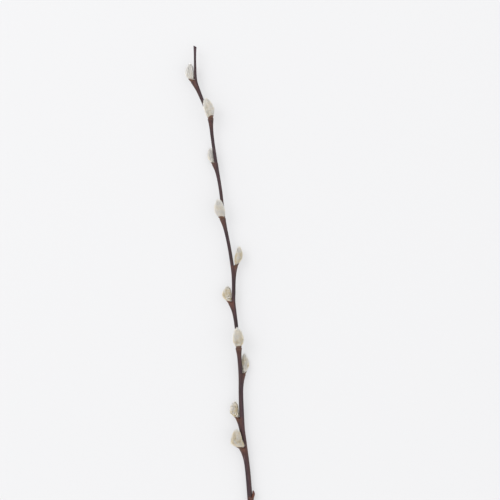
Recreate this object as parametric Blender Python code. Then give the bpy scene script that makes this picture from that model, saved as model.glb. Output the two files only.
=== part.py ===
"""A cut twig of pussy willow, lying on a table.

The stem grew as one piece of wood. Each furry catkin sits where a leaf has fallen, on a swollen
cushion of the stem, in what is left of its bud's hood. Two buds near the foot have not opened.
The twig lies along Y with its tip towards +Y. Every size below is in millimetres.
"""

from collections import namedtuple
from math import cos, exp, pi, radians, sin, tan

import bmesh
import bpy
from mathutils import Vector

MM = 0.001
UP = Vector((0, 0, 1))
GAP = 0.3  # left between two pieces that touch

# The middle of the cut at the tip, placed so that the origin is under the middle of the twig
TIP_X = -26.4
TIP_Y = 257.3

# The stem's course, as (distance down from the tip, distance to the right). Its line turns a
# little away from each catkin.
STEM_COURSE = (
    (0, 0.1),
    (20, 0.2),
    (34, 0.9),
    (44, 3.9),
    (58, 9.2),
    (71, 14.4),
    (79, 15.8),
    (97, 18.1),
    (116, 21.0),
    (125, 22.6),
    (146, 25.9),
    (171, 28.6),
    (181, 30.4),
    (200, 34.2),
    (219, 37.2),
    (229, 38.3),
    (244, 38.7),
    (255, 38.6),
    (265, 39.7),
    (283, 41.8),
    (300, 43.4),
    (327, 45.5),
    (348, 45.9),
    (371, 46.8),
    (384, 47.6),
    (401, 49.9),
    (423, 52.6),
    (453, 55.0),
    (513, 59.6),
)
# The height of the stem's middle. The twig rests on two of its catkins and on its foot.
STEM_HEIGHT = (
    (0, 10.5),
    (60, 9.3),
    (115, 8.5),
    (215, 8.5),
    (318, 8.25),
    (420, 5.4),
    (513, 2.64),
)
STEM_DIAMETER = (
    (0, 3.2),
    (5, 2.6),
    (13, 2.3),
    (23, 2.6),
    (34, 2.9),
    (46, 3.2),
    (60, 3.1),
    (100, 3.3),
    (180, 3.3),
    (232, 3.6),
    (300, 3.8),
    (330, 4.2),
    (353, 4.7),
    (405, 5.1),
    (513, 5.4),
)
STEM_LENGTH = STEM_COURSE[-1][0]
STEM_SIDES = 10
STEM_STEP = 10  # between rings, away from the cushions

# The cuts: which way round the stem the longest edge is, and how far the cut slants
TIP_CUT_AROUND, TIP_CUT_SLANT = radians(180), radians(25)
FOOT_CUT_AROUND, FOOT_CUT_SLANT = radians(270), radians(42)

# A bud: how far down its ledge is, degrees round the stem from the right with 90 on top, its
# length and width, how far the middle of its foot, its belly and its tip stand off the stem,
# and how high its hood is left on the side away from the stem
Bud = namedtuple("Bud", "down around length width foot belly tip hood")
CATKINS = (
    Bud(34.0, 195, 16.6, 9.2, 2.5, 4.1, 3.9, 4.2),
    Bud(72.0, 67, 18.2, 10.0, 2.5, 5.1, 7.2, 2.8),
    Bud(116.5, 235, 15.2, 8.0, 2.5, 3.9, 4.6, 3.4),
    Bud(171.5, 118, 18.6, 10.4, 2.5, 4.7, 5.6, 3.2),
    Bud(219.5, 0, 17.8, 8.1, 2.5, 5.5, 7.6, 2.8),
    Bud(255.5, 197, 15.6, 9.2, 2.5, 4.9, 4.6, 3.0),
    Bud(300.7, 85, 19.7, 10.7, 2.5, 5.0, 6.5, 2.9),
    Bud(327.6, 318, 19.0, 7.8, 2.5, 4.5, 4.9, 3.6),
    Bud(371.6, 195, 16.2, 9.0, 2.5, 4.7, 4.3, 2.8),
    Bud(401.0, 142, 18.8, 11.6, 2.5, 6.3, 5.2, 3.8),
)
DORMANT_BUDS = (
    Bud(451.0, 20, 6.6, 2.8, 1.1, 1.6, 1.4, 0),
    Bud(486.0, 150, 6.2, 2.8, 1.1, 1.6, 1.4, 0),
)
BELLY_SHARE = 0.4  # where along a bud its belly is
EGG_LOW = 0.82  # under 1, the egg is widest below its middle
EGG_BLUNT = 0.64  # the smaller, the blunter its ends
EGG_SHARES = (0.02, 0.05, 0.1, 0.17, 0.27, 0.42, 0.58, 0.74, 0.87, 0.95, 0.985)
EGG_SIDES = 12

# The hood: a thin cup round the catkin's foot
HOOD_WALL = 0.45
HOOD_OUTSIDE = GAP + HOOD_WALL  # from the catkin's surface
HOOD_LOW = 1.3  # the rim's height on the side of the stem
HOOD_STEPS = (0, 0.3, 0.65, 1)

# The cushion under a bud ends in a ledge that rises a little towards the stem
LEDGE_RISE = 0.35
CUSHION_LIP = 1.0  # the ledge reaches this far past the middle of the bud's foot
CUSHION_LENGTH = 6.0
CUSHION_FALL = 1.5  # the larger, the fuller the cushion stays before it dies away
CUSHION_NARROW = 3  # the larger, the less of the stem it wraps
CUSHION_RINGS = (0, 2.0, 4.5, 8.0, 13.0)  # distances below the ledge

SHARP = radians(50)


def smooth(table, at):
    """The value at a place in a table of (place, value), on a curve through its rows."""
    last = len(table) - 1

    def slope(row):
        before, after = table[max(row - 1, 0)], table[min(row + 1, last)]
        return (after[1] - before[1]) / (after[0] - before[0])

    row = min(max(sum(place <= at for place, _ in table) - 1, 0), last - 1)
    (start, first), (end, second) = table[row], table[row + 1]
    span = end - start
    t = (at - start) / span
    return (
        first * (1 + 2 * t) * (1 - t) ** 2
        + second * t * t * (3 - 2 * t)
        + slope(row) * span * t * (1 - t) ** 2
        - slope(row + 1) * span * t * t * (1 - t)
    )


def stem_middle(down):
    height = smooth(STEM_HEIGHT, down)
    return Vector((TIP_X + smooth(STEM_COURSE, down), TIP_Y - down, height))


def stem_frame(down):
    """The stem's middle, and the ways towards the tip, to the right and up, there."""
    tipward = (stem_middle(down - 0.5) - stem_middle(down + 0.5)).normalized()
    right = tipward.cross(UP).normalized()
    return stem_middle(down), tipward, right, right.cross(tipward)


def stem_radius(down):
    return smooth(STEM_DIAMETER, down) / 2


def swelling(bud, down, angle):
    """How far the cushion under a bud stands out of the stem."""
    below = down - bud.down
    if below < 0:
        return 0
    facing = (1 + cos(angle - radians(bud.around))) / 2
    left = exp(-((below / CUSHION_LENGTH) ** CUSHION_FALL))
    return (bud.foot + CUSHION_LIP) * facing**CUSHION_NARROW * left


def stem_rings():
    """The stem's outline from the tip to the foot, with a ledge under each bud."""
    buds = CATKINS + DORMANT_BUDS
    places = []
    for bud in buds:
        places.append(bud.down - LEDGE_RISE)
        places += [bud.down + below for below in CUSHION_RINGS]
    plain = range(0, STEM_LENGTH, STEM_STEP)
    places += [at for at in plain if min(abs(at - place) for place in places) > STEM_STEP / 3]
    places = sorted([*places, STEM_LENGTH])

    rings = []
    for down in places:
        middle, tipward, right, up = stem_frame(down)
        ring = []
        for side in range(STEM_SIDES):
            angle = 2 * pi * side / STEM_SIDES
            radius = stem_radius(down) + sum(swelling(bud, down, angle) for bud in buds)
            slant = 0
            if down == 0:
                slant = tan(TIP_CUT_SLANT) * radius * cos(angle - TIP_CUT_AROUND)
            if down == STEM_LENGTH:
                slant = -tan(FOOT_CUT_SLANT) * radius * cos(angle - FOOT_CUT_AROUND)
            outward = right * cos(angle) + up * sin(angle)
            ring.append(middle + outward * radius + tipward * slant)
        rings.append(ring)
    return rings


def egg_point(bud, share, angle, grow=0, drop=0):
    """A point on a bud's surface, grown outwards and dropped towards its seat.

    The share runs from the bud's foot to its tip, and the angle goes round it from the side
    away from the stem. Where the bud would reach into the stem, it is pressed flat against it.
    A catkin stands off by the thickness of its hood.
    """
    stand_clear = HOOD_OUTSIDE if bud.hood else 0
    down = bud.down - LEDGE_RISE - GAP - stand_clear - share * bud.length + drop
    middle, _, right, up = stem_frame(down)
    around = radians(bud.around)
    outward = right * cos(around) + up * sin(around)
    sideways = up * cos(around) - right * sin(around)
    lean = ((0, bud.foot), (BELLY_SHARE, bud.belly), (1, bud.tip))
    stand_off = stem_radius(bud.down) + smooth(lean, share)
    radius = sin(pi * share**EGG_LOW) ** EGG_BLUNT * bud.width / 2 + grow
    from_stem = outward * (stand_off + radius * cos(angle)) + sideways * radius * sin(angle)
    nearest = stem_radius(down) + GAP + stand_clear - grow
    if from_stem.length < nearest:
        from_stem = from_stem.normalized() * nearest
    return middle + from_stem


def around_egg():
    return [2 * pi * side / EGG_SIDES for side in range(EGG_SIDES)]


def bud_rings(bud):
    return [[egg_point(bud, share, angle) for angle in around_egg()] for share in EGG_SHARES]


def hood_rings(bud):
    """The hood's outside from its floor to its rim, then its inside from the rim to the floor."""
    floor = EGG_SHARES[0]
    rings = []
    for grow, steps in ((HOOD_OUTSIDE, HOOD_STEPS), (GAP, reversed(HOOD_STEPS))):
        for step in steps:
            drop = 0 if step else grow
            ring = []
            for angle in around_egg():
                away = ((1 + cos(angle)) / 2) ** 2
                rim = (HOOD_LOW + (bud.hood - HOOD_LOW) * away) / bud.length
                share = floor + (rim - floor) * step
                ring.append(egg_point(bud, share, angle, grow, drop))
            rings.append(ring)
    return rings


def finish(name, colour, roughness):
    material = bpy.data.materials.new(name)
    material.use_nodes = True
    shader = material.node_tree.nodes["Principled BSDF"]
    shader.inputs["Base Color"].default_value = (*colour, 1)
    shader.inputs["Roughness"].default_value = roughness
    shader.inputs["Metallic"].default_value = 0
    return material


def add_piece(name, rings, material, twig):
    """A closed solid skinned over its rings, with its origin in the middle of the first."""
    seat = sum(rings[0], Vector()) / len(rings[0])
    skin = bmesh.new()
    loops = [[skin.verts.new((point - seat) * MM) for point in ring] for ring in rings]
    for lower, upper in zip(loops, loops[1:]):
        for side in range(len(lower)):
            after = (side + 1) % len(lower)
            skin.faces.new((lower[side], lower[after], upper[after], upper[side]))
    skin.faces.new(loops[0])
    skin.faces.new(loops[-1])
    bmesh.ops.recalc_face_normals(skin, faces=skin.faces)
    mesh = bpy.data.meshes.new(name)
    skin.to_mesh(mesh)
    skin.free()
    mesh.shade_smooth()
    mesh.set_sharp_from_angle(angle=SHARP)
    mesh.materials.append(material)
    piece = bpy.data.objects.new(name, mesh)
    piece.location = seat * MM
    piece.parent = twig
    bpy.context.scene.collection.objects.link(piece)


def build_twig():
    for item in list(bpy.data.objects):
        bpy.data.objects.remove(item)
    twig = bpy.data.objects.new("willow_twig", None)
    bpy.context.scene.collection.objects.link(twig)

    bark = finish("purple_brown_bark", (0.07, 0.025, 0.035), 0.45)
    fur = finish("silver_catkin_hair", (0.72, 0.70, 0.64), 0.9)
    hood = finish("dry_bud_hood", (0.33, 0.20, 0.09), 0.4)
    shut_bud = finish("closed_bud_scale", (0.16, 0.05, 0.03), 0.35)

    add_piece("stem", stem_rings(), bark, twig)
    for number, bud in enumerate(CATKINS, 1):
        add_piece(f"catkin_{number:02d}", bud_rings(bud), fur, twig)
        add_piece(f"bud_scale_{number:02d}", hood_rings(bud), hood, twig)
    for number, bud in enumerate(DORMANT_BUDS, 1):
        add_piece(f"dormant_bud_{number:02d}", bud_rings(bud), shut_bud, twig)


build_twig()
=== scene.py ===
"""A cut twig of pussy willow, lying on a pale table and seen from straight above.

Sizes are in millimetres until a mesh is made. The twig lies along Y with its tip towards +Y.
"""

from collections import namedtuple
from functools import partial
from math import ceil, cos, degrees, exp, pi, radians, sin, tan

import bpy
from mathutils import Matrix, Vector, noise


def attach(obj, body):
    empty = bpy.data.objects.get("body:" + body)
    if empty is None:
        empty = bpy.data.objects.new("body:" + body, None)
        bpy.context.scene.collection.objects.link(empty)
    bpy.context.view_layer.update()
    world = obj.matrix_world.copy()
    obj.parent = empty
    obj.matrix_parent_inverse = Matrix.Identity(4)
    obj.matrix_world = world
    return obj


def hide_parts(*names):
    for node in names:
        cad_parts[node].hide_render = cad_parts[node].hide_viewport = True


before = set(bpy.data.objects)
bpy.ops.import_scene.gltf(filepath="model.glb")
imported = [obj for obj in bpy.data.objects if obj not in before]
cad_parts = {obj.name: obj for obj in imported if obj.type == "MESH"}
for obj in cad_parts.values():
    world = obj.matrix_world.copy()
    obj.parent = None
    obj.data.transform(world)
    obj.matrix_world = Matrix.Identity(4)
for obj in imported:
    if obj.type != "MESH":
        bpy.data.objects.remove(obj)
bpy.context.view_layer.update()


# The shoot
# One straight shoot of last summer's wood under thin smooth bark, cut from the bush with shears.
# Its line turns a little away from each bud, and it swells under each one into the cushion that
# held a leaf. It is given here by its course, its height over the table and its thickness.
MM = 0.001
UP = Vector((0, 0, 1))
GAP = 0.3  # left between pieces that grew on one another

# Each row has a place, so far down from the tip, and there how far the shoot's middle has gone to
# the right, how high it lies over the table, or how thick it is
TIP_X, TIP_Y = -26.4, 257.3
STEM_COURSE = (
    (0, 0.1), (20, 0.2), (34, 0.9), (44, 3.9), (58, 9.2), (71, 14.4), (79, 15.8), (97, 18.1),
    (116, 21.0), (125, 22.6), (146, 25.9), (171, 28.6), (181, 30.4), (200, 34.2), (219, 37.2),
    (229, 38.3), (244, 38.7), (255, 38.6), (265, 39.7), (283, 41.8), (300, 43.4), (327, 45.5),
    (348, 45.9), (371, 46.8), (384, 47.6), (401, 49.9), (423, 52.6), (453, 55.0), (513, 59.6),
)
STEM_HEIGHT = ((0, 10.5), (60, 9.3), (115, 8.5), (215, 8.5), (318, 8.25), (420, 5.4), (513, 2.64))
STEM_DIAMETER = (
    (0, 3.2), (5, 2.6), (13, 2.3), (23, 2.6), (34, 2.9), (46, 3.2), (60, 3.1), (100, 3.3),
    (180, 3.3), (232, 3.6), (300, 3.8), (330, 4.2), (353, 4.7), (405, 5.1), (513, 5.4),
)
STEM_LENGTH = STEM_COURSE[-1][0]

# Which way round the shoot a cut leans, and how far from square it is
TIP_CUT_AROUND, TIP_CUT_SLANT = radians(180), radians(25)
FOOT_CUT_AROUND, FOOT_CUT_SLANT = radians(270), radians(42)

# How far down the shoot a bud sits, degrees round it from the right, its length and width, how
# far its foot, belly and tip stand off the shoot, and how high its hood is left; then how warm
# its hair and its hood are in colour, from 0 to 1. The lower catkins' hair has more cream, partly
# as their own colour and partly as painted shade, as if other twigs shaded them
Bud = namedtuple("Bud", "down around length width foot belly tip hood cream rust")
CATKINS = (
    Bud(34.0, 195, 16.6, 9.2, 2.5, 4.1, 3.9, 4.2, 0.3, 0.4),
    Bud(72.0, 67, 18.2, 10.0, 2.5, 5.1, 7.2, 2.8, 0.5, 0.6),
    Bud(116.5, 235, 15.2, 8.0, 2.5, 3.9, 4.6, 3.4, 0.5, 0.8),
    Bud(171.5, 118, 18.6, 10.4, 2.5, 4.7, 5.6, 3.2, 0.45, 0.6),
    Bud(219.5, 0, 17.8, 8.1, 2.5, 5.5, 7.6, 2.8, 0.8, 0.2),
    Bud(255.5, 197, 15.6, 9.2, 2.5, 4.9, 4.6, 3.0, 1.0, 1.0),
    Bud(300.7, 85, 19.7, 10.7, 2.5, 5.0, 6.5, 2.9, 0.8, 0.4),
    Bud(327.6, 318, 19.0, 7.8, 2.5, 4.5, 4.9, 3.6, 0.8, 0.5),
    Bud(371.6, 195, 16.2, 9.0, 2.5, 4.7, 4.3, 2.8, 1.0, 0.6),
    Bud(401.0, 142, 18.8, 11.6, 2.5, 6.3, 5.2, 3.8, 1.0, 0.3),
)
DORMANT_BUDS = (
    Bud(451.0, 20, 6.6, 2.8, 1.1, 1.6, 1.4, 0, 0, 0),
    Bud(486.0, 150, 6.2, 2.8, 1.1, 1.6, 1.4, 0, 0, 0),
)
BUDS = CATKINS + DORMANT_BUDS

LEDGE_RISE = 0.35  # how far above its bud's place a cushion starts, with a flat ledge
LEDGE_ROUND, LEDGE_CURVE = 0.8, 2.4  # how far below the ledge its edge is rounded, and how fully
CUSHION_LIP = 1.5  # how far the ledge stands out past the bud's foot
SHUT_LIP = 0.5  # under a bud that stayed shut
CUSHION_LENGTH, CUSHION_FALL = 7.5, 1.2  # how far down a cushion tapers, and how sharply
CUSHION_NARROW = 2.5  # how closely it keeps to its bud's side of the shoot


def smooth(table, at):
    """The value at a place in a table of (place, value), on a curve through its rows."""
    last = len(table) - 1

    def slope(row):
        before, after = table[max(row - 1, 0)], table[min(row + 1, last)]
        return (after[1] - before[1]) / (after[0] - before[0])

    row = min(max(sum(place <= at for place, _ in table) - 1, 0), last - 1)
    (start, first), (end, second) = table[row], table[row + 1]
    span = end - start
    t = (at - start) / span
    return (
        first * (1 + 2 * t) * (1 - t) ** 2
        + second * t * t * (3 - 2 * t)
        + slope(row) * span * t * (1 - t) ** 2
        - slope(row + 1) * span * t * t * (1 - t)
    )


def stem_middle(down):
    height = smooth(STEM_HEIGHT, down)
    return Vector((TIP_X + smooth(STEM_COURSE, down), TIP_Y - down, height))


def stem_frame(down):
    """The shoot's middle, and the ways towards the tip, to the right and up, there."""
    tipward = (stem_middle(down - 0.5) - stem_middle(down + 0.5)).normalized()
    right = tipward.cross(UP).normalized()
    return stem_middle(down), tipward, right, right.cross(tipward)


def stem_radius(down):
    return smooth(STEM_DIAMETER, down) / 2


def facing(bud, angle):
    """How squarely one side of the shoot faces a bud's way, from 1 to 0."""
    return (1 + cos(angle - radians(bud.around))) / 2


def swelling(bud, down, angle):
    """How far the cushion under a bud stands out, with the edge of its ledge rounded."""
    below = down - bud.down
    if below < -LEDGE_RISE:
        return 0
    rounding = 1 - (1 - min((below + LEDGE_RISE) / (LEDGE_RISE + LEDGE_ROUND), 1)) ** LEDGE_CURVE
    left = exp(-((max(below, 0) / CUSHION_LENGTH) ** CUSHION_FALL))
    lip = CUSHION_LIP if bud.hood else SHUT_LIP
    return (bud.foot + lip) * facing(bud, angle) ** CUSHION_NARROW * left * rounding


# Bark
# The thin living bark of a year-old shoot: smooth, a little waxy, purple-brown where the sun
# caught it and olive on the shaded side, rusty under the buds. It is marked by fine lengthwise
# wrinkles and, here and there, by a greyish bloom that rubs off.
def linear(colour):
    """A colour written as sRGB hex, as the linear numbers that the shader takes."""
    parts = [int(colour[at:at + 2], 16) / 255 for at in (1, 3, 5)]
    return [p / 12.92 if p <= 0.04045 else ((p + 0.055) / 1.055) ** 2.4 for p in parts] + [1]


def give(value, socket):
    """Sets an input to a value, or joins it to a socket or to a node's first output in use."""
    if isinstance(value, bpy.types.Node):
        value = next(s for s in value.outputs if s.enabled)
    if isinstance(value, bpy.types.NodeSocket):
        socket.id_data.links.new(value, socket)
    else:
        socket.default_value = value


def add_node(tree, kind, inputs=None, **settings):
    """A node with its settings. An input, named or numbered, takes a value, a socket or a node."""
    new = tree.nodes.new(kind)
    for name, value in settings.items():
        setattr(new, name, value)
    for key, value in (inputs or {}).items():
        named = isinstance(key, str)
        socket = next(s for s in new.inputs if s.name == key and s.enabled) if named else new.inputs[key]
        give(value, socket)
    return new


def new_material(name):
    """A material, what adds a node to it, and its shader."""
    material = bpy.data.materials.new(name)
    material.use_nodes = True
    tree = material.node_tree
    return material, partial(add_node, tree), tree.nodes["Principled BSDF"]


def tinted(add, colour, *tints):
    """A colour with others laid over it in turn, each as strongly as its own share says."""
    for share, tint in tints:
        colour = add("ShaderNodeMix", {0: share, "A": colour, "B": linear(tint)}, data_type="RGBA")
    return colour


def set_surface(add, shader, colour, roughness, relief=None, strength=0, depth=0):
    """Gives a shader its colour and roughness, and a relief so many millimetres deep."""
    give(colour, shader.inputs["Base Color"])
    give(roughness, shader.inputs["Roughness"])
    if relief:
        bump = add("ShaderNodeBump", {"Height": relief, "Strength": strength, "Distance": depth * MM})
        give(bump, shader.inputs["Normal"])


def bark_material():
    """Living bark, grown smooth under a film of wax: dark, with a soft gloss that wrinkles break."""
    material, add, shader = new_material("willow_bark")
    straight = add("ShaderNodeAttribute", attribute_name="straight").outputs["Vector"]
    near_bud = add("ShaderNodeAttribute", attribute_name="near_bud").outputs["Fac"]
    shaded = add("ShaderNodeAttribute", attribute_name="shaded").outputs["Fac"]

    # Each layer's patches are so many millimetres across and along the shoot, show from one level
    # of the noise to another, and tint the bark by so much, some only where an attribute is high
    noises = []
    colour = linear("#1E1115")
    for across, along, low, high, tint, most, where in (
        (1.1, 14, 0.35, 0.65, "#332026", 1.0, None),  # purple-brown over near black
        (6, 45, 0.45, 0.7, "#452825", 0.5, None),  # redder, where the sun caught it
        (9, 60, 0.2, 0.6, "#3B3221", 0.4, shaded),  # olive
        (2.5, 7, 0.25, 0.6, "#5C3723", 0.65, near_bud),  # rust
        (1.8, 9, 0.56, 0.78, "#85757B", 0.25, None),  # greyish bloom
        (0.35, 3.5, 0.6, 0.75, "#2A1A1C", 0.5, None),  # dark threads
    ):
        scaled = add("ShaderNodeMapping", {
            "Vector": straight,
            "Scale": (1 / across, 1 / across, 1 / along),
        })
        noises.append(add("ShaderNodeTexNoise", {"Vector": scaled, "Scale": 1, "Detail": 4}))
        share = add("ShaderNodeMapRange", {
            "Value": noises[-1], "From Min": low, "From Max": high, "To Max": most,
        }, interpolation_type="SMOOTHSTEP")
        if where:
            share = add("ShaderNodeMath", {0: share, 1: where}, operation="MULTIPLY")
        colour = tinted(add, colour, (share, tint))

    # The bloom is duller than the wax. Wrinkles are 0.25 mm wide and 4.5 mm long, and the grain
    # between them 0.45 mm, each written here as so many to the millimetre
    bloom = noises[4]
    roughness = add("ShaderNodeMapRange", {"Value": bloom, "To Min": 0.3, "To Max": 0.62})
    wrinkled = add("ShaderNodeMapping", {"Vector": straight, "Scale": (4, 4, 0.22)})
    wrinkles = add("ShaderNodeTexNoise", {"Vector": wrinkled, "Scale": 1, "Detail": 4})
    grains = add("ShaderNodeTexNoise", {"Vector": straight, "Scale": 2.2, "Detail": 2})
    relief = add("ShaderNodeMath", {0: wrinkles, 1: grains}, operation="ADD")
    set_surface(add, shader, colour, roughness, relief, strength=0.5, depth=0.17)
    shader.inputs["Specular IOR Level"].default_value = 0.25
    return material


# The cut ends
# Shears leave two clean slanted faces: a dark rim of bark, a green line of cambium inside it,
# cream wood in a faint ring or two, and the brown dot of pith in the middle.
def cut_wood_material():
    """Fresh willow wood sheared across: pale and dull, freckled by its open pores."""
    material, add, shader = new_material("cut_willow_wood")
    across = add("ShaderNodeAttribute", attribute_name="across_cut").outputs["Fac"]
    tones = add("ShaderNodeValToRGB", {"Fac": across})

    # From the middle of the cut out to its edge: pith, wood, cambium and bark
    layers = (
        (0.0, "#7A5A3C"), (0.16, "#8A6A48"),
        (0.22, "#D2C4A4"), (0.6, "#C4B492"), (0.66, "#D6C9AA"), (0.82, "#C2B38F"),
        (0.87, "#777C44"),
        (0.93, "#43302A"), (1.0, "#33222A"),
    )
    for at, colour in layers[1:-1]:
        tones.color_ramp.elements.new(at).color = linear(colour)
    tones.color_ramp.elements[0].color = linear(layers[0][1])
    tones.color_ramp.elements[-1].color = linear(layers[-1][1])

    # The pores are finer than a hair, so they are drawn 0.25 mm wide, as coarse as they need to show
    here = add("ShaderNodeTexCoord").outputs["Object"]
    pores = add("ShaderNodeTexNoise", {"Vector": here, "Scale": 1 / (0.25 * MM), "Detail": 2})
    spotted = add("ShaderNodeMapRange", {
        "Value": pores, "From Min": 0.3, "From Max": 0.7, "To Min": 0.82, "To Max": 1.05,
    })
    colour = add("ShaderNodeVectorMath", {"Vector": tones, "Scale": spotted}, operation="SCALE")
    set_surface(add, shader, colour, 0.75, pores, strength=0.4, depth=0.1)
    return material


STEM_SIDES = 36
STEM_STEP = 0.6  # between rings
NODE_STEP, NODE_REACH = 0.15, 1.5  # between rings close under a bud, and how far below it they go
CUT_RINGS = 7  # from the middle of a cut to its edge
CUT_REACH = 7  # over which the rings lean from square to the slant of a cut
WRINKLE_DEPTH = 0.05  # real ones are finer, and would not show
WRINKLES = ((1.7, 0.05, 1.4), (5, 0.4, 0.5))  # how close they are round and along, and how deep
FLUSH_DOWN, FLUSH_UP, FLUSH_CURVE = 7, 1.2, 1.3  # how far down and up from a bud rust spreads
FLUSH_BEHIND = 0.2  # how much of it there is on the far side of the shoot
SHADE_SWAY, SHADE_WAVE = 0.6, 40  # how the shaded side wanders to and fro down the shoot

# The bark is laid out for its picture in strips side by side, with the cuts in a band over them
UV_STRIPS = 24
STRIP_FILLED, STRIP_TALL = 0.92, 1.05  # so that neither its sides nor its ends touch the next
CUT_BAND = (0.985, 0.999)


def turns(sides):
    """The angles of a ring's points."""
    return [2 * pi * side / sides for side in range(sides)]


def in_scene(name, data):
    made = bpy.data.objects.new(name, data)
    bpy.context.scene.collection.objects.link(made)
    return made


def new_object(name, points, faces, materials):
    """A smooth object whose points are given in millimetres, where it lies."""
    mesh = bpy.data.meshes.new(name)
    mesh.from_pydata([point * MM for point in points], [], faces)
    mesh.shade_smooth()
    for material in materials:
        mesh.materials.append(material)
    return in_scene(name, mesh)


def write_attribute(mesh, name, values, domain="POINT"):
    """Gives every point, or corner, of a mesh a number or a vector of its own."""
    single = isinstance(values[0], (int, float))
    flat = list(values) if single else [part for value in values for part in value]
    layer = mesh.attributes.new(name, "FLOAT" if single else "FLOAT_VECTOR", domain)
    layer.data.foreach_set("value" if single else "vector", flat)


def stem_outline(down, angle):
    """The shoot's radius on one side, with its cushions and wrinkles."""
    radius = stem_radius(down) + sum(swelling(bud, down, angle) for bud in BUDS)
    return radius + WRINKLE_DEPTH * sum(
        noise.noise(Vector((cos(angle) * close, sin(angle) * close, down * along))) * deep
        for close, along, deep in WRINKLES
    )


def stem_places():
    """Where the shoot's rings are, closer together under the buds."""
    places = [STEM_STEP * step for step in range(round(STEM_LENGTH / STEM_STEP) + 1)]
    places[-1] = STEM_LENGTH
    for bud in BUDS:
        start, end = bud.down - LEDGE_RISE, bud.down + NODE_REACH
        places = [at for at in places if not start - NODE_STEP < at < end]
        places += [start + NODE_STEP * step for step in range(round((end - start) / NODE_STEP))]
    return sorted(places)


def near_a_bud(down, angle):
    """How far the rusty flush under a bud reaches, from 1 at its ledge to 0."""
    flush = 0
    for bud in BUDS:
        below = down - bud.down
        fade = exp(-((below / FLUSH_DOWN) ** FLUSH_CURVE)) if below > 0 else exp(-((below / FLUSH_UP) ** 2))
        flush = max(flush, fade * (FLUSH_BEHIND + (1 - FLUSH_BEHIND) * facing(bud, angle)))
    return flush


def build_stem():
    """The shoot from cut to cut: rings of points with what the bark and the cuts read at each."""
    rows = []

    def add_ring(down, share):
        middle, tipward, right, up = stem_frame(down)
        for angle in turns(STEM_SIDES):
            radius = stem_outline(down, angle)
            near_tip = max(1 - down / CUT_REACH, 0)
            near_foot = max(1 - (STEM_LENGTH - down) / CUT_REACH, 0)
            slant = near_tip * tan(TIP_CUT_SLANT) * radius * cos(angle - TIP_CUT_AROUND)
            slant -= near_foot * tan(FOOT_CUT_SLANT) * radius * cos(angle - FOOT_CUT_AROUND)
            outward = right * cos(angle) + up * sin(angle)
            rows.append((
                middle + (outward * radius + tipward * slant) * share,
                (radius * cos(angle), radius * sin(angle), down - slant),
                tipward,
                near_a_bud(down, angle),
                0.5 - 0.5 * sin(angle + SHADE_SWAY * sin(down / SHADE_WAVE)),
                share,
            ))

    shares = [ring / CUT_RINGS for ring in range(1, CUT_RINGS)]
    places = stem_places()
    for share in shares:
        add_ring(0, share)
    for down in places:
        add_ring(down, 1)
    for share in reversed(shares):
        add_ring(STEM_LENGTH, share)
    for down in (0, STEM_LENGTH):
        rows.append((stem_middle(down), (0, 0, down), stem_frame(down)[1], 0, 0, 0))
    points, *marks = zip(*rows)

    faces, cut, layout = [], [], []
    rings = len(places) + 2 * len(shares)
    for ring in range(rings - 1):
        strip, low = divmod(ring / (rings - 1) * UV_STRIPS, 1)
        high = low + UV_STRIPS / (rings - 1)
        for side in range(STEM_SIDES):
            after = (side + 1) % STEM_SIDES
            first, second = ring * STEM_SIDES, (ring + 1) * STEM_SIDES
            faces.append((first + side, first + after, second + after, second + side))
            cut.append(ring < len(shares) or ring >= rings - 1 - len(shares))
            left = strip + side / STEM_SIDES * STRIP_FILLED
            right = strip + (side + 1) / STEM_SIDES * STRIP_FILLED
            for u, v in ((left, low), (right, low), (right, high), (left, high)):
                layout += [u / UV_STRIPS, v / STRIP_TALL]
    tip, foot, last = len(points) - 2, len(points) - 1, (rings - 1) * STEM_SIDES
    for side in range(STEM_SIDES):
        after = (side + 1) % STEM_SIDES
        for face, strip in (((tip, after, side), 0), ((foot, last + side, last + after), UV_STRIPS - 1)):
            faces.append(face)
            cut.append(True)
            left = (strip + side / STEM_SIDES * STRIP_FILLED) / UV_STRIPS
            right = left + STRIP_FILLED / STEM_SIDES / UV_STRIPS
            layout += [left, CUT_BAND[0], left, CUT_BAND[1], right, CUT_BAND[1]]

    made = new_object("willow_shoot", points, faces, [bark_material(), cut_wood_material()])
    made.data.polygons.foreach_set("material_index", [int(one) for one in cut])
    for name, values in zip(("straight", "grain", "near_bud", "shaded", "across_cut"), marks):
        write_attribute(made.data, name, values)
    made.data.uv_layers.new(name="OFBake").data.foreach_set("uv", layout)
    made.data.set_sharp_from_angle(angle=radians(45))
    return made


stem = build_stem()


# Leaf scars
# Under every bud the fallen leaf has left a narrow corky crescent, its horns turned up round the
# bud, with three dark dots where the leaf's veins passed through.
SCAR_BELOW = 1.7  # the crescent's middle, below the ledge
SCAR_HORNS = 1.1  # how much higher its horns are
SCAR_HALF_TURN = radians(44)
SCAR_HALF_HEIGHT = 0.36
SCAR_TAPER, SCAR_TAPER_CURVE = 0.94, 2.5  # how much finer its horns are than its middle
SCAR_RAISED, SCAR_SUNK = 0.1, 0.25  # above and below the bark
SCAR_STEPS, SCAR_SIDES = 24, 10
VEIN_DOTS = (-0.55, 0, 0.55)  # where they lie, from horn to horn
VEIN_DOT_SIZE = 0.11
VEIN_DOT_FOOT, VEIN_DOT_RISE = 0.75, 0.4  # against how far the scar is raised
VEIN_DOT_DOME = ((1, 0), (0.9, 0.5), (0.6, 0.85), (0.15, 1))  # how wide and high its rings are


def grained_material(name, grain, detail, dark, pale, roughness, strength=0, depth=0):
    """A dull material that wanders between two colours, in grains of so many millimetres."""
    material, add, shader = new_material(name)
    here = add("ShaderNodeTexCoord").outputs["Object"]
    grains = add("ShaderNodeTexNoise", {"Vector": here, "Scale": 1 / (grain * MM), "Detail": detail})
    colour = tinted(add, linear(dark), (grains, pale))
    set_surface(add, shader, colour, roughness, grains if depth else None, strength, depth)
    return material


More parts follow.
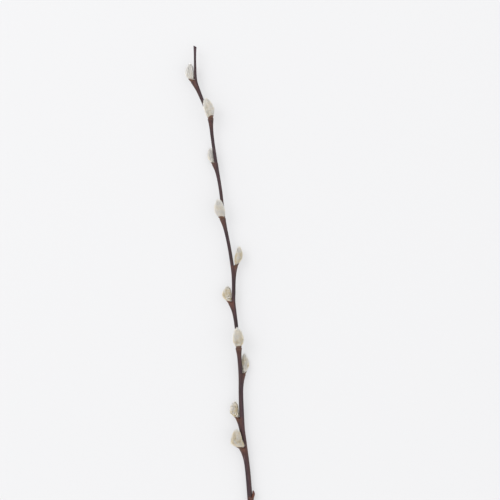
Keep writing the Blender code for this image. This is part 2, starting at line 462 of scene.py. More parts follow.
def tube_faces(sides, rings, start=0):
    """The faces of a tube of rings of points, with its two end faces last."""
    faces = []
    last = start + (rings - 1) * sides
    for first in range(start, last, sides):
        for side in range(sides):
            after = (side + 1) % sides
            faces.append((first + side, first + sides + side, first + sides + after, first + after))
    faces.append(list(range(start, start + sides)))
    faces.append(list(range(last, last + sides))[::-1])
    return faces


def build_scars():
    points, faces, dark = [], [], []

    def add_rings(rings, is_dark):
        faces.extend(tube_faces(SCAR_SIDES, len(rings), len(points)))
        for ring in rings:
            points.extend(ring)
        dark.extend([is_dark] * (len(faces) - len(dark)))

    for bud in BUDS:
        size = min(bud.foot / CATKINS[0].foot, 1) ** 0.5

        def place(along, off, lift):
            down = bud.down + size * (SCAR_BELOW - SCAR_HORNS * along**2 + off)
            angle = radians(bud.around) + along * SCAR_HALF_TURN
            middle, _, right, up = stem_frame(down)
            return middle + (right * cos(angle) + up * sin(angle)) * (stem_outline(down, angle) + lift)

        rings = []
        for step in range(SCAR_STEPS + 1):
            along = 2 * step / SCAR_STEPS - 1
            half = SCAR_HALF_HEIGHT * (1 - SCAR_TAPER * abs(along) ** SCAR_TAPER_CURVE)
            ring = []
            for turn in turns(SCAR_SIDES):
                lift = sin(turn) * (SCAR_RAISED if sin(turn) > 0 else SCAR_SUNK)
                ring.append(place(along, -cos(turn) * half, lift * half / SCAR_HALF_HEIGHT))
            rings.append(ring)
        add_rings(rings, 0)
        for along in VEIN_DOTS:
            add_rings([
                [
                    place(along + VEIN_DOT_SIZE * 0.5 * share * sin(turn), VEIN_DOT_SIZE * share * cos(turn),
                          SCAR_RAISED * (VEIN_DOT_FOOT + VEIN_DOT_RISE * height))
                    for turn in turns(SCAR_SIDES)
                ]
                for share, height in VEIN_DOT_DOME
            ], 1)

    # Cork that healed over where the stalk came away: dull, rough and a little paler than the bark.
    # The veins' ends in it are dark and duller still
    materials = [
        grained_material("leaf_scar_cork", 0.35, 3, "#3B2A24", "#624D3F", 0.85, strength=0.6, depth=0.08),
        grained_material("vein_trace", 0.1, 2, "#2A1E1A", "#3C2D26", 0.9),
    ]
    made = new_object("leaf_scars", points, faces, materials)
    made.data.polygons.foreach_set("material_index", dark)
    return made


scars = build_scars()
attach(scars, "root")


# Lenticels
# The bark breathes through small corky pores, which stand a little proud of it as pale tan
# grains, longer than wide. They are scattered thinly over it.
PORES_PER_MM2 = 0.08
PORE_LENGTH, PORE_SIZES = 0.5, (0.5, 1.3)  # its usual length, and the least and most of that
PORE_SHAPE = (0.45, 1, 0.28)  # its width, length and height, against its length
BARK_EDGE = 0.999  # the cut's share from which on the shoot is bark


def new_tree(name, inputs):
    """A geometry tree that takes a mesh and named inputs, what adds a node to it, and its inputs."""
    tree = bpy.data.node_groups.new(name, "GeometryNodeTree")
    for socket, kind in (("Geometry", "Geometry"), *inputs):
        tree.interface.new_socket(socket, in_out="INPUT", socket_type=f"NodeSocket{kind}")
    tree.interface.new_socket("Geometry", in_out="OUTPUT", socket_type="NodeSocketGeometry")
    return tree, partial(add_node, tree), add_node(tree, "NodeGroupInput").outputs


def lenticel_tree():
    """Small domes scattered over the bark, each with its long side along the shoot."""
    tree, add, given = new_tree("lenticels", (
        ("Pores per Area", "Float"), ("Pore Length", "Float"), ("Seed", "Int"), ("Cork", "Material"),
    ))
    across = add("GeometryNodeInputNamedAttribute", {"Name": "across_cut"}, data_type="FLOAT")
    is_bark = add("ShaderNodeMath", {0: across, 1: BARK_EDGE}, operation="GREATER_THAN")
    scattered = add("GeometryNodeDistributePointsOnFaces", {
        "Mesh": given["Geometry"],
        "Selection": is_bark,
        "Density": given["Pores per Area"],
        "Seed": given["Seed"],
    })
    grain = add("GeometryNodeInputNamedAttribute", {"Name": "grain"}, data_type="FLOAT_VECTOR")
    turned = add("FunctionNodeAxesToRotation", {
        "Primary Axis": scattered.outputs["Normal"],
        "Secondary Axis": grain,
    }, primary_axis="Z", secondary_axis="Y")
    dome = add("GeometryNodeMeshUVSphere", {"Radius": 0.5, "Segments": 8, "Rings": 4})
    size = add("FunctionNodeRandomValue", {2: PORE_SIZES[0], 3: PORE_SIZES[1]}, data_type="FLOAT")
    length = add("ShaderNodeMath", {0: given["Pore Length"], 1: size}, operation="MULTIPLY")
    shape = add("ShaderNodeVectorMath", {0: PORE_SHAPE, "Scale": length}, operation="SCALE")
    placed = add("GeometryNodeInstanceOnPoints", {
        "Points": scattered.outputs["Points"],
        "Instance": dome,
        "Rotation": turned,
        "Scale": shape,
    })
    real = add("GeometryNodeRealizeInstances", {"Geometry": placed})
    smoothed = add("GeometryNodeSetShadeSmooth", {"Geometry": real})
    corky = add("GeometryNodeSetMaterial", {"Geometry": smoothed, "Material": given["Cork"]})
    add("NodeGroupOutput", {"Geometry": corky})
    return tree


def grown(base, tree, **inputs):
    """Runs a geometry tree on an object and returns its result as a plain mesh."""
    modifier = base.modifiers.new("grown", "NODES")
    modifier.node_group = tree
    for item in tree.interface.items_tree:
        name = item.name.lower().replace(" ", "_")
        if item.in_out == "INPUT" and name in inputs:
            modifier[item.identifier] = inputs[name]
    result = base.evaluated_get(bpy.context.evaluated_depsgraph_get())
    mesh = bpy.data.meshes.new_from_object(result)
    base.modifiers.remove(modifier)
    return mesh


# Loose cork: dull, and its tone changes over 3 mm, so from one grain to the next
cork = grained_material("lenticel_cork", 3, 2, "#4C3830", "#715A4E", 0.8)
pores = grown(stem, lenticel_tree(), pores_per_area=PORES_PER_MM2 / MM**2, pore_length=PORE_LENGTH * MM,
              seed=3, cork=cork)
pores.name = "bark_lenticels"
lenticels = in_scene("bark_lenticels", pores)
for piece in (stem, lenticels):
    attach(piece, "root")
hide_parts("stem")


# The catkins
# Each is a short soft cone of overlapping bracts set in a spiral, and every bract carries a tuft
# of long silver hair that lies towards the tip and hides it. Cream at the foot, where the hair
# was under the hood longest, it turns to silver-white at the tip.
FOOT_LEAN = 0.7  # how far over its cushion a bud's foot stands, as a share of the cushion
SETTLED = 1.1  # how far its foot has settled into the hood
BELLY_SHARE = 0.4  # where along it it stands off the shoot as its row says
EGG_LOW = 0.82  # how far its widest part is drawn towards its foot
EGG_FOOT, EGG_TIP = 0.48, 0.4  # how gently it opens from its foot and closes at its tip
HOOD_WALL = 0.45  # how thick its hood is at the foot
HOOD_OUTSIDE = GAP + HOOD_WALL  # how much room the hood takes under it
CORE_SIDES, CORE_RINGS = 32, 40
CORE_ENDS = 0.01  # how far short of the foot and the tip its end rings are, as a share
CORE_GROW = -1.0  # the core's surface, from that of the furry egg
CORE_AT_FOOT, FOOT_SHARE = 0.65, 0.35  # what part of that it has at its foot, and where all of it
TIP_BRUSH = 2.0  # how far hair alone makes up its tip
LAY_STEP = 0.02  # how far ahead and behind is looked for the way along it
GOLDEN_TURN = (3 - 5**0.5) / 2  # of a full turn, from one bract to the next
THIN = 1.5  # a half width below which what is grown on it thins out
BALL_SHARE = 0.35  # how far its bracts are spaced as on a ball, which crowds them at both ends

# The core is laid out round and along, with its end faces past its sides. In its picture, hairs
# and bracts take the lower part and the core the rest
END_LAYOUT, END_BULGE, LAYOUT_TALL = 1.1, 0.05, 1.2
HAIR_PICTURE, PICTURE_EDGE, PICTURE_TOP = 0.9, 0.01, 0.98  # as shares of its height
CELL_FILLED = 0.9  # how much of its cell of the picture a hair or bract fills

# What is drawn for each hair: its place across and along its bract, how much it is lifted, how
# far it sways to a side, its tone and its size
HAIR_DRAWS = (("fan", -1.0, 1.0), ("back", -0.9, 0.9), ("lift", 0.3, 1.6), ("sway", -0.16, 0.16),
              ("tone", 0.0, 1.0), ("size", 0.7, 1.15))
HAIR_FAN = 0.28  # how far a hair at its bract's side leans out to that side
HAIR_BOW, BOW_REACH = 0.16, 1.7  # how far a hair bows outwards, against its length
BRACT_SHAPE = (0.3, 1.0, 1.7)  # its thickness, width and length, in widths of a tuft


def egg_point(bud, share, angle, grow=0, drop=0, least=0):
    """A point on a bud's surface, grown outwards and dropped towards its seat.

    The share runs from the bud's foot to its tip, and the angle goes round it from the side
    away from the shoot. Where the bud would reach into the shoot, it is pressed flat against it.
    It is nowhere thinner than the least radius.
    """
    stand_clear = HOOD_OUTSIDE if bud.hood else 0
    settled = SETTLED * (1 - share) if bud.hood else 0
    down = bud.down - LEDGE_RISE - GAP - stand_clear - share * bud.length + settled + drop
    middle, _, right, up = stem_frame(down)
    around = radians(bud.around)
    outward = right * cos(around) + up * sin(around)
    sideways = up * cos(around) - right * sin(around)
    lean = ((0, bud.foot * FOOT_LEAN), (BELLY_SHARE, bud.belly), (1, bud.tip))
    stand_off = stem_radius(bud.down) + smooth(lean, share)
    blunt = EGG_FOOT if share**EGG_LOW < 0.5 else EGG_TIP
    width = max(sin(pi * share**EGG_LOW), 0) ** blunt * bud.width / 2
    radius = max(width + grow * min(1, width / THIN), 0)
    radius = (radius**3 + least**3) ** (1 / 3)
    from_stem = outward * (stand_off + radius * cos(angle)) + sideways * radius * sin(angle)
    nearest = stem_radius(down) + GAP + stand_clear - grow
    if from_stem.length < nearest:
        from_stem = from_stem.normalized() * nearest
    return middle + from_stem


def bract_material():
    """Thin papery bracts: small dull scales between the hairs, browner at the tip."""
    material, add, shader = new_material("catkin_bract")
    along = add("ShaderNodeAttribute", attribute_name="hair_rise").outputs["Fac"]
    set_surface(add, shader, tinted(add, linear("#E2DBCB"), (along, "#B8AB98")), 0.6)
    return material


def hair_material():
    """Fine hollow hair, silky: it lets light through, so it glows, and its edge has a sheen."""
    material, add, shader = new_material("silver_catkin_hair")
    along, tone, rise, cream = (
        add("ShaderNodeAttribute", attribute_name=name).outputs["Fac"]
        for name in ("along", "hair_tone", "hair_rise", "cream")
    )
    # The foot is warm and the tip keeps some of that warmth, so catkins with much cream are duller all over:
    # partly their own colour, partly painted shade
    foot = add("ShaderNodeMapRange", {
        "Value": along, "From Min": 0.9, "From Max": 0.25, "To Min": 0.6,
    }, interpolation_type="SMOOTHSTEP")
    warm = add("ShaderNodeMath", {0: foot, 1: cream}, operation="MULTIPLY")

    # The coat is creamier and greyer in patches of 4.5 mm, as wide as a few tufts
    here = add("ShaderNodeTexCoord").outputs["Object"]
    patch = add("ShaderNodeTexNoise", {"Vector": here, "Scale": 1 / (4.5 * MM), "Detail": 2})
    creamier = add("ShaderNodeMapRange", {
        "Value": patch, "From Min": 0.38, "From Max": 0.62, "To Min": 0.5, "To Max": 1.4,
    })
    greyer = add("ShaderNodeMapRange", {"Value": patch, "From Min": 0.52, "From Max": 0.36, "To Max": 0.4})
    warm = add("ShaderNodeMath", {0: warm, 1: creamier}, operation="MULTIPLY", use_clamp=True)
    grey_hair = add("ShaderNodeMapRange", {"Value": tone, "From Min": 0.55, "From Max": 1, "To Max": 0.18})
    # Near its root each hair is darker and creamier: painted shade, for the shade that falls deep in the
    # coat between the hairs
    root = add("ShaderNodeMapRange", {
        "Value": rise, "From Min": 0, "From Max": 0.5, "To Min": 0.2, "To Max": 0,
    })
    colour = tinted(add, linear("#FBFAF8"), (warm, "#D9C7A2"), (greyer, "#BFB9B2"),
                    (grey_hair, "#BDB8B0"), (root, "#CFC4AC"))
    set_surface(add, shader, colour, 0.45)
    shader.inputs["Subsurface Weight"].default_value = 0.7
    shader.inputs["Subsurface Radius"].default_value = (1, 0.95, 0.88)
    shader.inputs["Subsurface Scale"].default_value = 0.1 * MM
    shader.inputs["Sheen Weight"].default_value = 0.5
    shader.inputs["Sheen Roughness"].default_value = 0.4
    return material


def hair_tree():
    """Tufts of hair on a spiral of bracts over a core that is laid out round and along."""
    tree, add, given = new_tree("catkin_hair", (
        ("Bracts", "Int"), ("Hairs in a Tuft", "Int"), ("Tuft Width", "Float"), ("Hair Length", "Float"),
        ("Hair Thickness", "Float"), ("Cream", "Float"), ("Table Height", "Float"),
        ("Picture Columns", "Int"), ("Seed", "Int"), ("Skin", "Material"), ("Bract", "Material"),
        ("Hair", "Material"),
    ))
    read = {}
    kinds = {"FLOAT_VECTOR": ("out", "lay", "layout", "on_piece"), "FLOAT": ("along", "fan", "cell")}
    for kind, names in kinds.items():
        for name in names:
            read[name] = add("GeometryNodeInputNamedAttribute", {"Name": name}, data_type=kind)
    drawn = {}
    for salt, (name, low, high) in enumerate(HAIR_DRAWS, 1):
        seed = add("ShaderNodeMath", {0: given["Seed"], 1: salt}, operation="ADD")
        drawn[name] = add("FunctionNodeRandomValue", {2: low, 3: high, "Seed": seed}, data_type="FLOAT")
    index = add("GeometryNodeInputIndex")
    place = add("GeometryNodeInputPosition")

    # The spiral: each bract is a golden turn on from the last, a little closer to the tip, spaced
    # partly as on a ball and partly as on a cylinder
    number = add("ShaderNodeMath", {0: index, 1: 0.5}, operation="ADD")
    part = add("ShaderNodeMath", {0: number, 1: given["Bracts"]}, operation="DIVIDE")
    level = add("ShaderNodeMath", {0: part, 1: -2.0, 2: 1.0}, operation="MULTIPLY_ADD")
    from_pole = add("ShaderNodeMath", {0: level}, operation="ARCCOSINE")
    on_ball = add("ShaderNodeMath", {0: from_pole, 1: BALL_SHARE / pi}, operation="MULTIPLY")
    along = add("ShaderNodeMath", {0: part, 1: 1 - BALL_SHARE, 2: on_ball}, operation="MULTIPLY_ADD")
    whole_turns = add("ShaderNodeMath", {0: index, 1: GOLDEN_TURN}, operation="MULTIPLY")
    around = add("ShaderNodeMath", {0: whole_turns}, operation="FRACT")
    spot = add("ShaderNodeCombineXYZ", {"X": around, "Y": along})
    normal = add("GeometryNodeInputNormal")
    on_core = {}
    for name, value in (("place", place), ("out", normal), ("lay", read["lay"])):
        on_core[name] = add("GeometryNodeSampleUVSurface", {
            "Mesh": given["Geometry"], "Value": value, "UV Map": read["layout"], "Sample UV": spot,
        }, data_type="FLOAT_VECTOR")
    places = add("GeometryNodePoints", {"Count": given["Bracts"], "Position": on_core["place"]})
    for name, value, kind in (
        ("out", on_core["out"], "FLOAT_VECTOR"),
        ("lay", on_core["lay"], "FLOAT_VECTOR"),
        ("along", along, "FLOAT"),
    ):
        places = add("GeometryNodeStoreNamedAttribute", {
            "Geometry": places, "Name": name, "Value": value,
        }, data_type=kind)

    # One tuft: hairs fan out across their bract and lie down along the catkin
    crossed = add("ShaderNodeVectorMath", {0: read["out"], 1: read["lay"]}, operation="CROSS_PRODUCT")
    across = add("ShaderNodeVectorMath", {0: crossed}, operation="NORMALIZE")
    hairs = add("GeometryNodeDuplicateElements", {
        "Geometry": places, "Amount": given["Hairs in a Tuft"],
    }, domain="POINT")
    for name, value in (("fan", drawn["fan"]), ("hair_tone", drawn["tone"]), ("cell", index)):
        hairs = add("GeometryNodeStoreNamedAttribute", {
            "Geometry": hairs, "Name": name, "Value": value,
        }, data_type="FLOAT")
    wide = add("ShaderNodeVectorMath", {0: across, "Scale": read["fan"]}, operation="SCALE")
    back = add("ShaderNodeVectorMath", {0: read["lay"], "Scale": drawn["back"]}, operation="SCALE")
    off = add("ShaderNodeVectorMath", {0: wide, 1: back}, operation="ADD")
    shift = add("ShaderNodeVectorMath", {0: off, "Scale": given["Tuft Width"]}, operation="SCALE")
    hairs = add("GeometryNodeSetPosition", {"Geometry": hairs, "Offset": shift})

    # A hair changes with its place along the catkin: between two places, from one value to another
    by_place = {}
    for name, start, end, first, last in (
        ("lean", 0.0, 0.25, -0.4, 0.18),  # drawn in under the hood, and then standing off a little
        ("tip_lean", 0.65, 1.0, 0.0, 0.35),  # more upright at the tip, which it closes like a brush
        ("tip_size", 0.5, 1.0, 1.0, 0.7),  # and shorter there
        ("foot_size", 0.0, 0.1, 0.4, 1.0),  # short where it starts under the hood
    ):
        by_place[name] = add("ShaderNodeMapRange", {
            "Value": read["along"], "From Min": start, "From Max": end, "To Min": first, "To Max": last,
        })
    lift = add("ShaderNodeMath", {0: by_place["lean"], 1: by_place["tip_lean"]}, operation="ADD")
    lift = add("ShaderNodeMath", {0: lift, 1: drawn["lift"]}, operation="MULTIPLY")
    sway = add("ShaderNodeMath", {0: read["fan"], 1: HAIR_FAN, 2: drawn["sway"]}, operation="MULTIPLY_ADD")
    sideways = add("ShaderNodeVectorMath", {0: across, "Scale": sway}, operation="SCALE")
    outwards = add("ShaderNodeVectorMath", {0: read["out"], "Scale": lift}, operation="SCALE")
    way = add("ShaderNodeVectorMath", {0: read["lay"], 1: sideways}, operation="ADD")
    way = add("ShaderNodeVectorMath", {0: way, 1: outwards}, operation="ADD")
    turned = add("FunctionNodeAxesToRotation", {
        "Primary Axis": way, "Secondary Axis": read["out"],
    }, primary_axis="Z", secondary_axis="X")
    size = drawn["size"]
    for factor in (by_place["tip_size"], by_place["foot_size"], given["Hair Length"]):
        size = add("ShaderNodeMath", {0: size, 1: factor}, operation="MULTIPLY")

    # One hair: a thin three-sided needle of unit length that bows outwards and closes to a point
    thick = add("ShaderNodeMath", {0: given["Hair Thickness"], 1: given["Hair Length"]}, operation="DIVIDE")
    thick = add("ShaderNodeMath", {0: thick, 1: 0.5}, operation="MULTIPLY")
    cone = add("GeometryNodeMeshCone", {
        "Vertices": 3, "Side Segments": 2, "Radius Top": 0.0, "Radius Bottom": thick, "Depth": 1.0,
    }, fill_type="NGON")
    height = add("ShaderNodeSeparateXYZ", {"Vector": place}).outputs["Z"]
    left = add("ShaderNodeMath", {0: BOW_REACH, 1: height}, operation="SUBTRACT")
    bow = add("ShaderNodeMath", {0: height, 1: left}, operation="MULTIPLY")
    bow = add("ShaderNodeMath", {0: bow, 1: HAIR_BOW}, operation="MULTIPLY")

    # The bract under each tuft is a small scale, brown at its tip, that shows between the hairs
    ball = add("GeometryNodeMeshIcoSphere", {"Radius": 0.5, "Subdivisions": 1})
    risen = add("ShaderNodeMath", {0: height, 1: 0.5}, operation="ADD")
    marked = []
    for shape, rise in ((cone, height), (ball, risen)):
        piece = add("GeometryNodeStoreNamedAttribute", {
            "Geometry": shape, "Name": "hair_rise", "Value": rise,
        }, data_type="FLOAT")
        marked.append(add("GeometryNodeStoreNamedAttribute", {
            "Geometry": piece, "Name": "on_piece", "Value": shape.outputs["UV Map"],
        }, data_type="FLOAT_VECTOR", domain="CORNER"))
    needle, scale = marked
    bent = add("ShaderNodeCombineXYZ", {"X": bow})
    needle = add("GeometryNodeSetPosition", {"Geometry": needle, "Offset": bent})
    fur = add("GeometryNodeInstanceOnPoints", {
        "Points": hairs, "Instance": needle, "Rotation": turned, "Scale": size,
    })
    total = add("ShaderNodeMath", {
        0: given["Bracts"], 1: given["Hairs in a Tuft"], 2: index,
    }, operation="MULTIPLY_ADD")
    seats = add("GeometryNodeStoreNamedAttribute", {
        "Geometry": places, "Name": "cell", "Value": total,
    }, data_type="FLOAT")
    flat = add("FunctionNodeAxesToRotation", {
        "Primary Axis": read["lay"], "Secondary Axis": read["out"],
    }, primary_axis="Z", secondary_axis="X")
    size = add("ShaderNodeVectorMath", {0: BRACT_SHAPE, "Scale": given["Tuft Width"]}, operation="SCALE")
    bracts = add("GeometryNodeInstanceOnPoints", {
        "Points": seats, "Instance": scale, "Rotation": flat, "Scale": size,
    })

    # Hair that would reach into the table is pressed up by it. For its picture, every hair and
    # bract has its own cell in a square grid
    column = add("ShaderNodeMath", {0: read["cell"], 1: given["Picture Columns"]}, operation="MODULO")
    row = add("ShaderNodeMath", {0: read["cell"], 1: given["Picture Columns"]}, operation="DIVIDE")
    row = add("ShaderNodeMath", {0: row}, operation="FLOOR")
    corner = add("ShaderNodeCombineXYZ", {"X": column, "Y": row})
    inside = add("ShaderNodeVectorMath", {0: read["on_piece"], "Scale": CELL_FILLED}, operation="SCALE")
    cell = add("ShaderNodeVectorMath", {0: corner, 1: inside}, operation="ADD")
    shrink = add("ShaderNodeMath", {0: 1.0, 1: given["Picture Columns"]}, operation="DIVIDE")
    cell = add("ShaderNodeVectorMath", {0: cell, "Scale": shrink}, operation="SCALE")
    at = add("ShaderNodeSeparateXYZ", {"Vector": place})
    over_table = add("ShaderNodeMath", {0: at.outputs["Z"], 1: given["Table Height"]}, operation="MAXIMUM")
    pressed = add("ShaderNodeCombineXYZ", {"X": at.outputs["X"], "Y": at.outputs["Y"], "Z": over_table})
    layers = [add("GeometryNodeSetMaterial", {"Geometry": given["Geometry"], "Material": given["Skin"]})]
    for layer, look in ((fur, given["Hair"]), (bracts, given["Bract"])):
        layer = add("GeometryNodeRealizeInstances", {"Geometry": layer})
        layer = add("GeometryNodeSetPosition", {"Geometry": layer, "Position": pressed})
        layer = add("GeometryNodeSetShadeSmooth", {"Geometry": layer})
        layer = add("GeometryNodeStoreNamedAttribute", {
            "Geometry": layer, "Name": "OFBake", "Value": cell,
        }, data_type="FLOAT2", domain="CORNER")
        layers.append(add("GeometryNodeSetMaterial", {"Geometry": layer, "Material": look}))
    whole = add("GeometryNodeJoinGeometry")
    for layer in layers:
        give(layer, whole.inputs[0])
    creamy = add("GeometryNodeStoreNamedAttribute", {
        "Geometry": whole, "Name": "cream", "Value": given["Cream"],
    }, data_type="FLOAT")
    add("NodeGroupOutput", {"Geometry": creamy})
    return tree


def build_core(bud, name):
    """The catkin's body under its hair, with where each point lies round and along it."""
    bud = bud._replace(length=bud.length - TIP_BRUSH)
    shares = [(1 - cos(pi * ring / (CORE_RINGS - 1))) / 2 * (1 - 2 * CORE_ENDS) + CORE_ENDS
              for ring in range(CORE_RINGS)]
    points, lay, along, layout = [], [], [], []
    for share in shares:
        grow = CORE_GROW * (CORE_AT_FOOT + (1 - CORE_AT_FOOT) * min(share / FOOT_SHARE, 1))
        for angle in turns(CORE_SIDES):
            points.append(egg_point(bud, share, angle, grow))
            ahead = egg_point(bud, min(share + LAY_STEP, 1), angle, grow)
            behind = egg_point(bud, max(share - LAY_STEP, 0), angle, grow)
            lay.append((ahead - behind).normalized())
            along.append(share)
    for low, high in zip(shares, shares[1:]):
        for side in range(CORE_SIDES):
            left, right = side / CORE_SIDES, (side + 1) / CORE_SIDES
            layout += [(left, low, 0), (left, high, 0), (right, high, 0), (right, low, 0)]
    for order in (1, -1):
        for side in list(range(CORE_SIDES))[::order]:
            bulge = END_BULGE * sin(2 * pi * side / CORE_SIDES)
            layout.append((side / CORE_SIDES, END_LAYOUT + bulge, 0))
    core = new_object(name, points, tube_faces(CORE_SIDES, CORE_RINGS), [])
    write_attribute(core.data, "lay", lay)
    write_attribute(core.data, "along", along)
    write_attribute(core.data, "layout", layout, "CORNER")
    strip = []
    for u, v, _ in layout:
        strip += [u, HAIR_PICTURE + PICTURE_EDGE + (PICTURE_TOP - HAIR_PICTURE) * v / LAYOUT_TALL]
    core.data.uv_layers.new(name="OFBake").data.foreach_set("uv", strip)
    return core


BRACTS_PER_MM2 = 0.42
EGG_AREA = 0.85  # against a cylinder round it
HAIRS_IN_A_TUFT, TUFT_WIDTH = 40, 0.75
HAIR_LENGTH, HAIR_THICKNESS = 3.3, 0.1  # thicker than real hair, so that fewer of them hide the core
TABLE_CLEAR = 0.05  # how high over the table the lowest hair is kept
fur_tree = hair_tree()

# The felt of short under-hair on the core: matt and cream, so no dark shows between the hairs
skin = grained_material("catkin_felt", 0.8, 3, "#CFC8B6", "#E6E2D8", 0.9)
bract, hair = bract_material(), hair_material()
for number, bud in enumerate(CATKINS, 1):
    core = build_core(bud, f"furry_catkin_{number:02d}")
    bracts = round(pi * bud.width * bud.length * EGG_AREA * BRACTS_PER_MM2)
    columns = ceil((bracts * (HAIRS_IN_A_TUFT + 1) / HAIR_PICTURE) ** 0.5)
    furry = grown(core, fur_tree, bracts=bracts, hairs_in_a_tuft=HAIRS_IN_A_TUFT,
                  tuft_width=TUFT_WIDTH * MM, hair_length=HAIR_LENGTH * MM,
                  hair_thickness=HAIR_THICKNESS * MM, cream=bud.cream, table_height=TABLE_CLEAR * MM,
                  picture_columns=columns, seed=number * 10, skin=skin, bract=bract, hair=hair)
    core.data = furry
    furry.name = core.name
    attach(core, "root")
    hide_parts(f"catkin_{number:02d}")


# The hoods
# A single scale wrapped each bud all winter. The swelling catkin split it and pushed it off, and
# what is left is a thin dry cup at its foot, dark brown to rust in colour and darker still at its
# torn edge. It is highest on the side away from the shoot.
HOOD_LOW = 0.7  # its height next to the shoot
HOOD_LEFT = 0.55  # how much of its height the hood still has
HOOD_LOBE = 1.6  # how narrow the high side is
HOOD_SIDES, HOOD_RINGS = 60, 16  # enough points round it for its torn rim
HOOD_EDGE = 0.12  # its thickness at the rim
HOOD_HUG = 0.3  # how far its rim presses into the hair
HOOD_SEAT = 2.1  # the radius of its foot, which sits in the cushion
HOOD_SUNK = 0.8  # how deep
HOOD_SPLITS = ((85, 0.45), (235, 0.35))  # degrees round it, and how deep as a share of its height
SPLIT_WIDTH, SPLIT_SHIFT = 16, 20  # degrees
RIM_RAGGED, RIM_TEETH = 0.2, 3  # how deep its tears are, and how close
RIM_RISE = 1.3  # how slowly its walls leave its foot
HOOD_FOOT = 0.002  # how far above the bud's foot its lowest ring is, as a share


def stretched_noise(add, size, squeeze):
    """Veins or flecks of so many millimetres, drawn out along the twig."""
    here = add("ShaderNodeTexCoord").outputs["Object"]
    stretched = add("ShaderNodeMapping", {"Vector": here, "Scale": (1, squeeze, 1)})
    return add("ShaderNodeTexNoise", {"Vector": stretched, "Scale": 1 / (size * MM), "Detail": 4})


def hood_material():
    """A winter-dried scale, leathery: a dull gloss, fine pale veins and a dark worn edge."""
    material, add, shader = new_material("dry_bud_scale")
    up_it = add("ShaderNodeAttribute", attribute_name="up_hood").outputs["Fac"]
    rust = add("ShaderNodeAttribute", attribute_name="rust").outputs["Fac"]
    veins = stretched_noise(add, 0.3, 0.2)
    low = add("ShaderNodeMapRange", {"Value": up_it, "From Min": 0.7, "From Max": 0.1, "To Max": 0.85})
    pale = add("ShaderNodeMapRange", {"Value": veins, "From Min": 0.35, "From Max": 0.75, "To Max": 0.4})
    worn = add("ShaderNodeMath", {0: up_it, 1: veins}, operation="MULTIPLY")
    edge = add("ShaderNodeMapRange", {
        "Value": worn, "From Min": 0.35, "From Max": 0.6,
    }, interpolation_type="SMOOTHSTEP")
    colour = tinted(add, linear("#433026"), (rust, "#5E3826"), (low, "#2C1B19"), (pale, "#7C5C42"),
                    (edge, "#2E1D19"))
    set_surface(add, shader, colour, 0.42, veins, strength=0.6, depth=0.12)
    shader.inputs["Specular IOR Level"].default_value = 0.3
    return material


def hood_rim(bud, angle, number):
    """The torn rim's height: a lobe on the outer side, a lower one behind, and splits between."""
    away = ((1 + cos(angle)) / 2) ** HOOD_LOBE
    height = HOOD_LOW + (bud.hood * HOOD_LEFT - HOOD_LOW) * away
    for around, depth in HOOD_SPLITS:
        off = (degrees(angle) - around - SPLIT_SHIFT * sin(number * 2) + 180) % 360 - 180
        height *= 1 - depth * exp(-((off / SPLIT_WIDTH) ** 2))
    return height + RIM_RAGGED * noise.noise(
        Vector((cos(angle) * RIM_TEETH, sin(angle) * RIM_TEETH, number * 3.7)))


def build_hood(bud, number, material):
    """The cup, up its outer wall from its foot to the torn rim and down its inner wall."""
    points, up_hood = [], []
    steps = [ring / (HOOD_RINGS - 1) for ring in range(HOOD_RINGS)]
    walls = [(step, True) for step in steps] + [(step, False) for step in reversed(steps)]
    for step, outside in walls:
        wall = HOOD_WALL + (HOOD_EDGE - HOOD_WALL) * step
        grow = (wall if outside else 0) - HOOD_HUG * step
        drop = (HOOD_OUTSIDE + GAP + HOOD_SUNK - SETTLED if outside else 0) * (1 - step) ** 3
        least = HOOD_SEAT if outside else HOOD_SEAT - HOOD_WALL
        for angle in turns(HOOD_SIDES):
            share = HOOD_FOOT + (hood_rim(bud, angle, number) / bud.length - HOOD_FOOT) * step**RIM_RISE
            points.append(egg_point(bud, share, angle, grow, drop, least))
            up_hood.append(step)
    made = new_object(f"split_hood_{number:02d}", points, tube_faces(HOOD_SIDES, len(walls)), [material])
    write_attribute(made.data, "up_hood", up_hood)
    write_attribute(made.data, "rust", [bud.rust] * len(points))
    made.data.set_sharp_from_angle(angle=radians(60))
    return made


dry_scale = hood_material()
for number, bud in enumerate(CATKINS, 1):
    hood = build_hood(bud, number, dry_scale)
    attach(hood, "root")
    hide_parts(f"bud_scale_{number:02d}")


# The closed buds
# Near the foot two buds have stayed shut: small, pointed, pressed to the shoot, each in its one
# glossy red-brown scale, which is lighter at the foot and nearly black at the point.
SHUT_SEAT = 1.2  # the radius of its foot
SHUT_SUNK = 0.3  # how deep that sits in the cushion
SHUT_KEEL, KEEL_SHARP = 0.15, 8  # how far the ridge down its outer side stands out, how sharply
SHUT_POINT = 0.45  # how much finer than the furry ones' its tip is
SHUT_SIDES, SHUT_RINGS = 32, 30
SHUT_ENDS = 0.004  # how far short of the foot and the tip its end rings are, as a share


def shut_bud_material():
    """A living scale, smooth and waxed: a clear gloss over red-brown flecks."""
    material, add, shader = new_material("closed_bud_scale")
    along = add("ShaderNodeAttribute", attribute_name="along").outputs["Fac"]
    flecks = stretched_noise(add, 0.35, 0.25)
    colour = tinted(add, linear("#5A3722"), (along, "#2E1513"), (flecks, "#4A2118"))
    set_surface(add, shader, colour, 0.34, flecks, strength=0.5, depth=0.1)
    shader.inputs["Specular IOR Level"].default_value = 0.3
    return material


def build_shut_bud(bud, number, material):
    points, along = [], []
    for ring in range(SHUT_RINGS):
        share = SHUT_ENDS + (1 - 2 * SHUT_ENDS) * (1 - cos(pi * ring / (SHUT_RINGS - 1))) / 2
        for angle in turns(SHUT_SIDES):
            drop = GAP + (LEDGE_RISE + SHUT_SUNK) * (1 - share) ** 6
            keel = SHUT_KEEL * max(cos(angle), 0) ** KEEL_SHARP * sin(pi * share)
            seat = SHUT_SEAT * (1 - share) ** 2
            points.append(egg_point(bud, share, angle, keel - SHUT_POINT * share**2, drop, seat))
            along.append(share)
    made = new_object(f"closed_bud_{number:02d}", points, tube_faces(SHUT_SIDES, SHUT_RINGS), [material])
    write_attribute(made.data, "along", along)
    return made


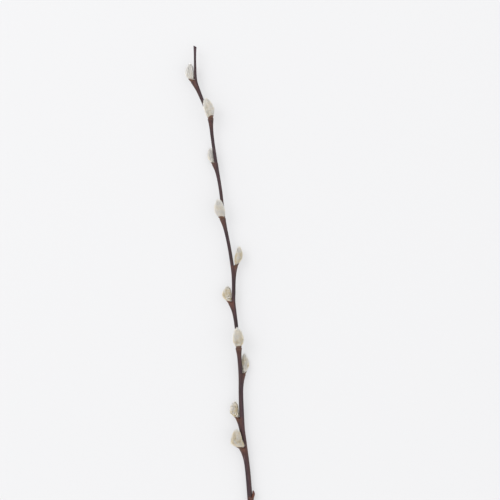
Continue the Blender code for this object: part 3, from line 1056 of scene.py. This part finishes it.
glossy_scale = shut_bud_material()
for number, bud in enumerate(DORMANT_BUDS, 1):
    shut = build_shut_bud(bud, number, glossy_scale)
    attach(shut, "root")
    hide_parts(f"dormant_bud_{number:02d}")


# The table, the light and the camera
# A plain near-white sheet lies under the twig. The light is soft, from the upper left. The camera
# looks straight down, so that a millimetre of the twig is a pixel of the picture, and the foot
# runs out of the lower edge.
FLOOR_HALF = 3.0  # metres, as are the other sizes here that are not called millimetres
VIEW_SIZE = 0.5
VIEW_X, VIEW_Y = TIP_X + 55.0, TIP_Y - 203.2  # the picture's middle, in millimetres
LENS, SENSOR = 100, 36
TWIG_PLANE = 8.0  # the height that is seen at true scale, in millimetres

# Uncoated paper: matt, even and near white. It also gives a little light of its own, which paper
# does not: a painted glow, so that the twig's shadow stays faint
paper = grained_material("pale_paper", 2, 2, "#7E7E7F", "#818182", 0.9)
paper_shader = paper.node_tree.nodes["Principled BSDF"]
paper_shader.inputs["Emission Color"].default_value = linear("#FEFEFF")
paper_shader.inputs["Emission Strength"].default_value = 0.5
floor_corners = [Vector((x, y, 0)) * FLOOR_HALF / MM for x, y in ((-1, -1), (1, -1), (1, 1), (-1, 1))]
floor = new_object("pale_table", floor_corners, [(0, 1, 2, 3)], [paper])

world = bpy.data.worlds.new("studio")
world.use_nodes = True
world.node_tree.nodes["Background"].inputs["Color"].default_value = linear("#FFFFFF")
world.node_tree.nodes["Background"].inputs["Strength"].default_value = 1.45
bpy.context.scene.world = world

for name, place, size, power in (
    ("window_light", (-1.8, 1.4, 2.6), 2.0, 55.0),
    ("fill_light", (1.8, -0.8, 2.4), 2.4, 8.0),
):
    lamp = bpy.data.lights.new(name, "AREA")
    lamp.size = size
    lamp.energy = power
    holder = in_scene(name, lamp)
    holder.location = place
    holder.rotation_euler = (-Vector(place)).to_track_quat("-Z", "Y").to_euler()

lens = bpy.data.cameras.new("camera")
lens.lens = LENS
lens.sensor_width = SENSOR
camera = in_scene("camera", lens)
camera.location = (VIEW_X * MM, VIEW_Y * MM, TWIG_PLANE * MM + VIEW_SIZE * LENS / SENSOR)
bpy.context.scene.camera = camera
bpy.context.scene.view_settings.view_transform = "Standard"
